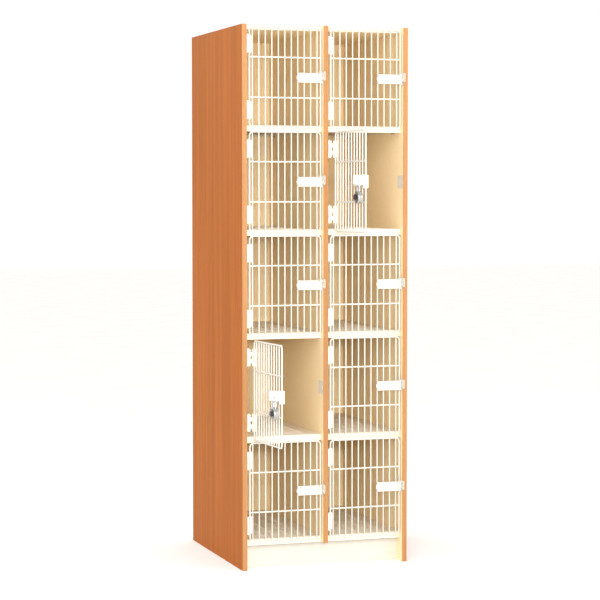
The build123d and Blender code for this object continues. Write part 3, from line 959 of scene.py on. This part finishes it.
# %% Padlock shackle
lock_r = 24.0
lock_t = 20.0
shackle_r = 3.2
shackle_half = 9.5
dial_r = 17.5
dial_t = 2.5
knob_r = 10.0
knob_t = 7.0
dial_recess = 1.0
shackle_clear = 0.15
heel_deep = 7.0
toe_lift = 2.0
notch_lift = 6.0
notch_tall = 3.0
notch_web = 1.8  # steel left between the notch and the middle of the leg
shackle_break = 0.5
joint_places = {joint["name"]: joint.get("pos_m") for joint in frame["joints"]}
to_door = doors["L4"].inverted()
ear_hole = to_door @ Vector(joint_places["padlock_L4_swing"]) / MM
lock_face = to_door @ Vector(joint_places["dial_L4_turn"]) / MM
crown_z = ear_hole.z - hole_r + shackle_r + shackle_clear
shackle_z = crown_z - shackle_half
shoulder_z = lock_face.z + math.sqrt(lock_r**2 - (shackle_half + shackle_r) ** 2)


def shackle():
    """A steel rod: up the heel leg, half round, and down the short toe leg."""
    deselect()
    x, y = ear_hole.x, ear_hole.y
    heel = Vector((x - shackle_half, y, shoulder_z - heel_deep)) * MM
    bpy.ops.mesh.primitive_circle_add(
        vertices=28, radius=shackle_r * MM, fill_type="NGON", location=heel
    )
    rod = settle(bpy.context.object)
    bpy.ops.object.mode_set(mode="EDIT")
    bpy.ops.mesh.select_all(action="SELECT")
    rise = (0, 0, shackle_z * MM - heel.z)
    bpy.ops.mesh.extrude_region_move(TRANSFORM_OT_translate={"value": rise})
    middle = Vector((x, y, shackle_z)) * MM
    bpy.ops.mesh.spin(steps=20, angle=math.pi, center=middle, axis=(0, 1, 0))
    drop = (0, 0, (shoulder_z + toe_lift - shackle_z) * MM)
    bpy.ops.mesh.extrude_region_move(TRANSFORM_OT_translate={"value": drop})
    bpy.ops.mesh.select_all(action="SELECT")
    bpy.ops.mesh.remove_doubles(threshold=0.00002)
    bpy.ops.mesh.normals_make_consistent(inside=False)
    bpy.ops.object.mode_set(mode="OBJECT")
    notch_z = shoulder_z + notch_lift
    notch_x = x + shackle_half - notch_web
    carve(rod, block((x + 4, y - 5, notch_z), (notch_x, y + 5, notch_z + notch_tall)))
    return dress(smooth(soften(rod, shackle_break)), chrome_finish)


# %% [markdown]
# ## Padlock case
# The case is a cup drawn from stainless sheet, closed by a back plate with a rolled
# rim, which leaves a ring-shaped seam. It could be a profile turned with spin. A drum
# with carved recesses is used, because the holes for the legs are carved anyway.

# %% Padlock case
case_round = 2.8
seam_outer = 4.5
seam_inner = 6.0
seam_deep = 0.7
leg_hole_deep = 20.0
case_break = 0.25
dial_clear = 0.3


def lock_case():
    """The drawn cup: a rounded drum with a dial recess and a rolled back seam."""
    x, y, z = lock_face
    drum = bar((x, y + lock_t, z), (x, y, z), lock_r, 96)
    soften(drum, case_round, 5)
    carve(drum, bar((x, y - 1, z), (x, y + dial_recess, z), dial_r + dial_clear, 96))
    back = y + lock_t
    groove = bar((x, back - seam_deep, z), (x, back + 1, z), lock_r - seam_outer, 96)
    carve(groove, bar((x, back - 2, z), (x, back + 2, z), lock_r - seam_inner, 96))
    carve(drum, groove)
    for side in (-1, 1):
        foot = (x + side * shackle_half, y + lock_t / 2, shoulder_z - leg_hole_deep)
        top = (foot[0], foot[1], z + lock_r + 2)
        carve(drum, bar(foot, top, shackle_r + shackle_clear, 28))
    soften(drum, case_break)
    return dress(smooth(drum), stainless_finish)


# %% [markdown]
# ## Padlock dial
# The dial is a black disc with a fluted knob. Forty white marks stand round its rim,
# with a number at each fifth. The marks could be painted by a texture. They are thin
# solids here, so that they stay sharp close up and turn with the dial.

# %% Padlock dial
flute_count = 20
flute_r = 1.1
disc_break = 0.5
knob_break = 0.3
knob_lap = 0.2
mark_count = 40
mark_half = 0.16
mark_sink = 0.05
mark_proud = 0.06
mark_rim = 0.9
long_mark = 2.6
short_mark = 1.5
marks_per_number = 5
number_tall = 2.9
number_rim = 5.2


def dial_mark(n, centre):
    """One of the marks round the rim; each fifth one is longer."""
    length = long_mark if n % marks_per_number == 0 else short_mark
    top = dial_r - mark_rim
    mark = block((-mark_half, -mark_proud, top - length), (mark_half, mark_sink, top))
    mark.rotation_euler = (0, math.radians(360.0 / mark_count * n), 0)
    mark.location = centre
    return settle(mark)


def dial_number(n, centre):
    """The number at a mark, with its foot towards the middle."""
    deselect()
    turn = math.radians(360.0 / mark_count * n)
    bpy.ops.object.text_add()
    number = bpy.context.object
    number.data.body = str(n)
    number.data.size = number_tall * MM
    number.data.extrude = mark_sink * MM
    number.data.align_x = "CENTER"
    number.data.align_y = "CENTER"
    reach = (dial_r - number_rim) * MM
    upright = Matrix.Rotation(math.pi / 2, 3, "X")
    number.rotation_euler = (Matrix.Rotation(turn, 3, "Y") @ upright).to_euler()
    number.location = centre + Vector((reach * math.sin(turn), 0, reach * math.cos(turn)))
    bpy.ops.object.convert(target="MESH")
    return settle(bpy.context.object)


def dial():
    """The dial with its fluted knob, and its marks and numbers as a second piece."""
    x, y, z = lock_face
    seat = y + dial_recess - shackle_clear
    disc = soften(bar((x, seat, z), (x, seat - dial_t, z), dial_r, 80), disc_break)
    face_y = seat - dial_t
    knob = bar((x, face_y + knob_lap, z), (x, face_y - knob_t, z), knob_r, 80)
    flutes = []
    for n in range(flute_count):
        turn = 2 * math.pi / flute_count * n
        fx, fz = x + knob_r * math.cos(turn), z + knob_r * math.sin(turn)
        flutes.append(bar((fx, face_y, fz), (fx, face_y - knob_t - 1, fz), flute_r, 12))
    carve(knob, gather(flutes))
    soften(knob, knob_break)
    black = dress(smooth(gather([disc, knob])), enamel_finish)
    centre = Vector((x, face_y, z)) * MM
    marks = [dial_mark(n, centre) for n in range(mark_count)]
    marks += [dial_number(n, centre) for n in range(0, mark_count, marks_per_number)]
    return black, dress(merge(gather(marks)), fill_finish)


# %% Hang the padlocks
shackle_pattern, case_pattern = shackle(), lock_case()
dial_pattern, marks_pattern = dial()
for key in ("L4", "R2"):
    place = doors[key]
    node = f"padlock_shackle_{key}"
    copy_of(shackle_pattern, f"lock_shackle_{key}", place, f"shackle_{key}", node)
    node = f"padlock_case_{key}"
    copy_of(case_pattern, f"lock_case_{key}", place, f"padlock_{key}", node)
    node = f"padlock_dial_{key}"
    copy_of(dial_pattern, f"lock_dial_{key}", place, f"dial_{key}", node)
    copy_of(marks_pattern, f"lock_marks_{key}", place, f"dial_{key}")
print("padlock case has", len(case_pattern.data.polygons), "faces")
discard(shackle_pattern, case_pattern, dial_pattern, marks_pattern)

# %% [markdown]
# ## Screws
# Hinges and strikes are held by countersunk wood screws with a cross recess. One screw
# is modelled, driven towards -X with its head at the origin, and copied. Its thread is
# inside the board, so a plain shank is enough, and only the cross is carved.

# %% One screw
head_r = 3.8
neck_r = 1.9
head_deep = 2.0
head_break = 0.15
cross_half = 2.2
cross_wide = 0.45
cross_deep = 0.9
shank_r = 1.85
shank_end = 14.0


def wood_screw():
    """A countersunk head with a crossed recess, on a plain shank."""
    deselect()
    bpy.ops.mesh.primitive_cone_add(
        vertices=24,
        radius1=neck_r * MM,
        radius2=head_r * MM,
        depth=head_deep * MM,
        location=(-head_deep / 2 * MM, 0, 0),
    )
    head = bpy.context.object
    head.rotation_euler = (0, math.pi / 2, 0)
    head = settle(head)
    soften(head, head_break, 1)
    for turn in (0, math.pi / 2):
        slot = block((-cross_deep, -cross_half, -cross_wide), (1, cross_half, cross_wide))
        slot.rotation_euler = (turn, 0, 0)
        carve(head, settle(slot))
    shank = bar((-shank_end, 0, 0), (-neck_r, 0, 0), shank_r, 12)
    return dress(smooth(gather([head, shank])), coat_painted_darker)


# %% Place the screws
screw_pattern = wood_screw()
hinge_panel_x = -3.5  # panel face, from the hinge axis
bay_width = 317.5
hinge_screw_y = 24.5
hinge_screw_z = 20.0
strike_screw_y = 49.5
strike_screw_z = 21.0
hinge_screws, strike_screws = [], []
half_turn = Matrix.Rotation(math.pi, 4, "Z")
for key, place in doors.items():
    home = Matrix.Translation(place.translation)
    for side in (-1, 1):
        for step in (-1, 1):
            height = side * (rod_z - leaf_drop) + step * hinge_screw_z
            spot = Vector((hinge_panel_x + leaf_t, hinge_screw_y, height)) * MM
            hinge_screws.append(home @ Matrix.Translation(spot))
        strike_x = hinge_panel_x + bay_width
        spot = Vector((strike_x, strike_screw_y, side * strike_screw_z)) * MM
        strike_screws.append(home @ Matrix.Translation(spot) @ half_turn)


def screw_group(name, places, node):
    """Copies the screw to every place, as one piece of the case."""
    copies = []
    for place in places:
        piece = screw_pattern.copy()
        piece.data = screw_pattern.data.copy()
        bpy.context.scene.collection.objects.link(piece)
        piece.data.transform(place)
        copies.append(piece)
    group = gather(copies)
    group.name = name
    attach(group, "case")
    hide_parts(node)


screw_group("hinge_wood_screws", hinge_screws, "hinge_screws")
screw_group("strike_wood_screws", strike_screws, "strike_screws")
print("screws", len(hinge_screws), "in hinges,", len(strike_screws), "in strikes")
discard(screw_pattern)

# %% [markdown]
# ## Shelves
# A shelf is a shallow tray upside down: a deck with a wall all round and ribs below,
# and a rolled front edge. Its deck is embossed with short bars, some straight and some
# slanted, which lift a case off the plastic so that air gets under it. They could be
# copied one by one. Eight bars make the motif, and two Array modifiers repeat it over
# the deck, which keeps the rows true.

# %% Deck motif
bar_pitch = 26.0
bar_raise = 0.9
bar_sink = 0.6
bar_half = 1.6
bar_round = 0.7
straight_bar = 20.0
slanted_bar = 18.0
bar_turns = (52, 0, -52, 0)


def embossed_bar(x, y, turn):
    """One raised bar of the deck, at its place in the motif."""
    half = (slanted_bar if turn else straight_bar) / 2
    piece = block((-half, -bar_half, -bar_sink), (half, bar_half, bar_raise))
    round_edges(piece, lambda p: near(p.z, bar_raise), bar_round, 2)
    piece.rotation_euler = (0, 0, math.radians(turn))
    piece.location = Vector((x, y, 0)) * MM
    return settle(piece)


def deck_field(repeats_x, repeats_y):
    """The motif, repeated along the deck's width and then along its depth."""
    motif = []
    for n, turn in enumerate(bar_turns):
        motif.append(embossed_bar(n * bar_pitch, 0, turn))
        motif.append(embossed_bar(n * bar_pitch, bar_pitch, bar_turns[(n + 2) % 4]))
    field = gather(motif)
    for count, offset in (
        (repeats_x, (4 * bar_pitch * MM, 0, 0)),
        (repeats_y, (0, 2 * bar_pitch * MM, 0)),
    ):
        apply_modifier(
            field,
            "ARRAY",
            count=count,
            use_relative_offset=False,
            use_constant_offset=True,
            constant_offset_displace=offset,
        )
    return field


# %% Shelf
shelf_low, shelf_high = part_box("shelves_left")
shelf_drop = 7.6  # from a bay line down to a shelf's lip
deck_rise = 17.4  # from a bay line up to a shelf's deck
shelf_tall = deck_rise + shelf_drop
bay_pitch = ((case_high.z - shelf_low.z) / MM - shelf_drop) / 5
shelf_wall = 3.0
nose_wall = 8.5
nose_r = 7.0
shelf_break = 0.6
rib_count = 5
rib_half = 1.0
rib_low = 5.0
rib_start = 8.0
rib_lap = 0.5
deck_margin = 30.0
nose_shift = 2.0


def shelf():
    """The tray with its nose, its ribs and its embossed deck."""
    width = (shelf_high.x - shelf_low.x) / MM
    depth = (shelf_high.y - shelf_low.y) / MM
    inner = depth - shelf_wall
    ceiling = shelf_tall - shelf_wall
    tray = block((0, 0, 0), (width, depth, shelf_tall))
    round_edges(tray, lambda p: near(p.y, 0) and near(p.z, shelf_tall), nose_r, 6)
    carve(tray, block((shelf_wall, nose_wall, -1), (width - shelf_wall, inner, ceiling)))
    soften(tray, shelf_break)
    ribs = []
    for n in range(rib_count):
        x = width * (n + 1) / (rib_count + 1)
        low = (x - rib_half, rib_start, rib_low)
        ribs.append(block(low, (x + rib_half, inner + 1, ceiling + rib_lap)))
    repeats_x = int((width - deck_margin) // (4 * bar_pitch))
    repeats_y = int((depth - deck_margin) // (2 * bar_pitch))
    field = deck_field(repeats_x, repeats_y)
    across = (width - (4 * repeats_x - 1) * bar_pitch) / 2
    along = (depth - (2 * repeats_y - 1) * bar_pitch) / 2 + nose_shift
    field.data.transform(Matrix.Translation(Vector((across, along, shelf_tall)) * MM))
    return dress(smooth(gather([tray, field] + ribs)), shelf_finish)


# %% Place the shelves
shelf_pattern = shelf()
for column, node in (("L", "shelves_left"), ("R", "shelves_right")):
    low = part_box(node)[0]
    for row in range(1, 6):
        lift = Vector((0, 0, (5 - row) * bay_pitch * MM))
        place = Matrix.Translation(low + lift)
        shelf_node = node if row == 1 else None
        copy_of(shelf_pattern, f"shelf_{column}{row}", place, "case", shelf_node)
print("shelf has", len(shelf_pattern.data.polygons), "faces")
discard(shelf_pattern)
